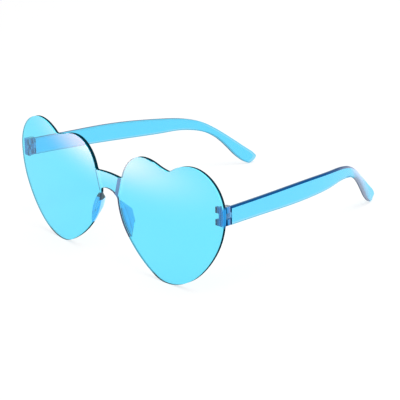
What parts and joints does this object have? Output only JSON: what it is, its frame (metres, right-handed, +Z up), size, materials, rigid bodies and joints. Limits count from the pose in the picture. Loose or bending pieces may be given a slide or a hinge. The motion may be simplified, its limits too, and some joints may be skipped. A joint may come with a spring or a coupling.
{
  "type": "heart shaped sunglasses",
  "caption": "Rimless sunglasses with a one-piece transparent front of heart shaped lenses joined by a raised bridge, with bonded nose pads and folding temples on screwed hinges.",
  "frame": {"origin": "centre of the bounding box in plan, on the floor that the hearts and temple tips rest on", "axes": "+X to the wearer's left, +Y backwards along the temples, +Z up"},
  "size_m": [0.145, 0.125, 0.0549],
  "materials": {
    "tinted_sheet": "polished transparent light blue plastic sheet",
    "tinted_moulding": "polished transparent light blue moulded plastic",
    "screw_steel": "bright steel"
  },
  "bodies": {
    "front": {"front_sheet": "tinted_sheet", "nose_pad_left": "tinted_moulding", "nose_pad_right": "tinted_moulding", "hinge_block_left": "tinted_moulding", "hinge_block_right": "tinted_moulding", "hinge_screw_left": "screw_steel", "hinge_screw_right": "screw_steel"},
    "left_arm": {"temple_left": "tinted_moulding"},
    "right_arm": {"temple_right": "tinted_moulding"}
  },
  "joints": [
    {"name": "left_fold", "type": "hinge", "parent": "front", "child": "left_arm", "pos_m": [0.06965, -0.05192, 0.03646], "axis": [0, 0.0926, 0.9957], "range_deg": [0, 76]},
    {"name": "right_fold", "type": "hinge", "parent": "front", "child": "right_arm", "pos_m": [-0.06965, -0.05192, 0.03646], "axis": [0, -0.0926, -0.9957], "range_deg": [0, 71]}
  ]
}
